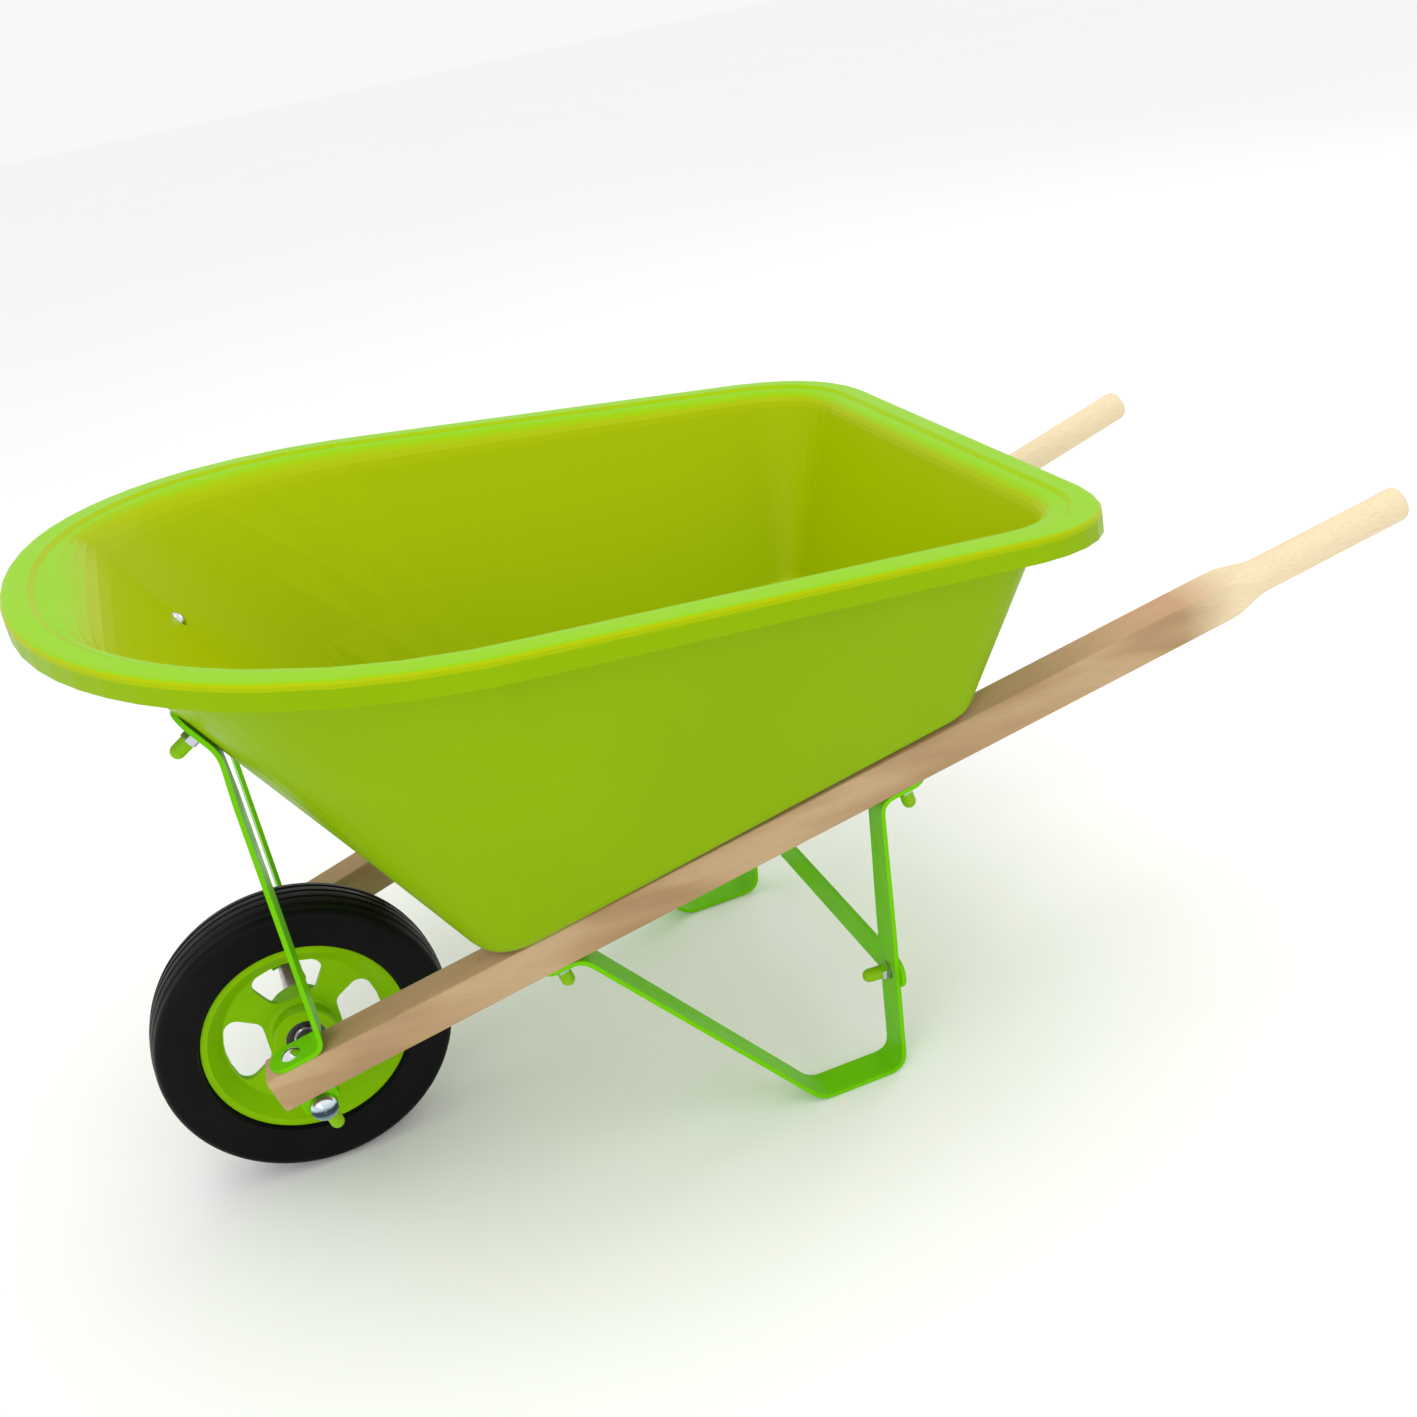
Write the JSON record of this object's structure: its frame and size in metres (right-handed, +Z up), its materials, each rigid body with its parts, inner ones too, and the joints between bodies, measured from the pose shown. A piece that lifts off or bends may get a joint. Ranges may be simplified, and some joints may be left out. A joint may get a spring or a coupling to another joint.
{
  "type": "wheelbarrow",
  "caption": "Small wheelbarrow with a moulded basin tray on two wooden handle rails, bent strip legs and braces, and a solid tyred front wheel that turns on its axle.",
  "frame": {"origin": "middle of the bounding box in plan, on the ground under the feet and tyre", "axes": "+X the way it is pushed, towards the wheel; +Y to its left; +Z up"},
  "size_m": [0.8822, 0.5228, 0.4534],
  "materials": {
    "tray_plastic": "lime green, moulded, semi gloss",
    "wheel_plastic": "lime green gloss paint on pressed steel",
    "green_paint": "lime green powder coat on strip steel",
    "rail_wood": "pale sanded hardwood with a thin clear coat",
    "tyre_rubber": "matt black solid rubber",
    "seal_rubber": "dark bearing seal",
    "cover_vinyl": "soft lime green vinyl",
    "bright_plating": "bright plated steel",
    "zinc_plating": "zinc plated steel"
  },
  "bodies": {
    "frame": {"tray": "tray_plastic", "left_rail": "rail_wood", "right_rail": "rail_wood", "left_leg": "green_paint", "right_leg": "green_paint", "leg_tie": "green_paint", "left_front_brace": "green_paint", "right_front_brace": "green_paint", "left_axle_saddle": "green_paint", "right_axle_saddle": "green_paint", "axle": "zinc_plating", "left_axle_cap": "bright_plating", "right_axle_cap": "bright_plating", "left_axle_spacer": "zinc_plating", "right_axle_spacer": "zinc_plating", "left_bearing_inner_ring": "bright_plating", "right_bearing_inner_ring": "bright_plating", "axle_bolts": "bright_plating", "axle_bolt_washers": "zinc_plating", "axle_bolt_nuts": "zinc_plating", "axle_bolt_covers": "cover_vinyl", "leg_bolts": "bright_plating", "leg_bolt_washers": "zinc_plating", "leg_bolt_nuts": "zinc_plating", "leg_bolt_covers": "cover_vinyl", "brace_bolts": "bright_plating", "brace_bolt_washers": "zinc_plating", "brace_bolt_nuts": "zinc_plating", "brace_bolt_covers": "cover_vinyl", "tie_bolts": "bright_plating", "tie_bolt_washers": "zinc_plating", "tie_bolt_nuts": "zinc_plating", "tie_bolt_covers": "cover_vinyl"},
    "wheel": {"wheel_centre": "wheel_plastic", "tyre": "tyre_rubber", "left_bearing_outer_ring": "zinc_plating", "right_bearing_outer_ring": "zinc_plating", "left_bearing_shield": "seal_rubber", "right_bearing_shield": "seal_rubber", "left_bearing_balls": "bright_plating", "right_bearing_balls": "bright_plating"}
  },
  "joints": [
    {"name": "wheel_spin", "type": "hinge", "parent": "frame", "child": "wheel", "pos_m": [0.33961, 0, 0.1015], "axis": [0, 1, 0], "continuous": true}
  ]
}
